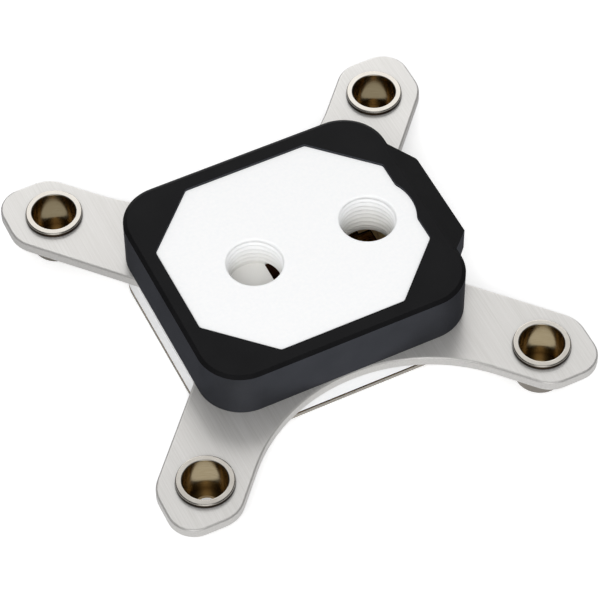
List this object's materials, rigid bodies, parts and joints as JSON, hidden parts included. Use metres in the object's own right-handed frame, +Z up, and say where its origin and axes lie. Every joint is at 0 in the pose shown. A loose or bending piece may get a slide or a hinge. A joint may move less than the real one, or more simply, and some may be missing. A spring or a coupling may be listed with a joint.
{
  "type": "liquid cooling cold plate",
  "caption": "Square cold plate that cools a processor: metal base, white housing with inlet and outlet ports, black cover, and a steel mounting plate with corner ferrules.",
  "frame": {"origin": "in the contact face under the base, on the centre line of the four mounting ferrules", "axes": "+X from the inlet port towards the outlet port and the cover's sloped lip, +Y across the two ports, +Z up out of the ports, away from the cooled processor"},
  "size_m": [0.1012, 0.1008, 0.0225],
  "materials": {
    "nickel_plated_copper": "satin nickel plating",
    "gasket_rubber": "matt",
    "copper": "plain rolled copper",
    "white_acetal": "machined, satin",
    "brushed_stainless": "brushed one way",
    "nickel_plated_brass": "turned and nickel plated",
    "black_anodised": "black anodised, satin",
    "screw_steel": "plain stainless"
  },
  "bodies": {
    "root": {"base": "nickel_plated_copper", "base_gasket": "gasket_rubber", "jet_plate": "copper", "jet_seal": "gasket_rubber", "housing": "white_acetal", "mounting_plate": "brushed_stainless", "ferrule_front_left": "nickel_plated_brass", "ferrule_front_right": "nickel_plated_brass", "ferrule_back_right": "nickel_plated_brass", "ferrule_back_left": "nickel_plated_brass", "cover": "black_anodised", "cover_screw_front_left": "screw_steel", "cover_screw_front_right": "screw_steel", "cover_screw_back_right": "screw_steel", "cover_screw_back_left": "screw_steel", "base_screw_front_left": "screw_steel", "base_screw_front_right": "screw_steel", "base_screw_back_right": "screw_steel", "base_screw_back_left": "screw_steel", "base_screw_left": "screw_steel", "base_screw_right": "screw_steel"}
  },
  "joints": []
}
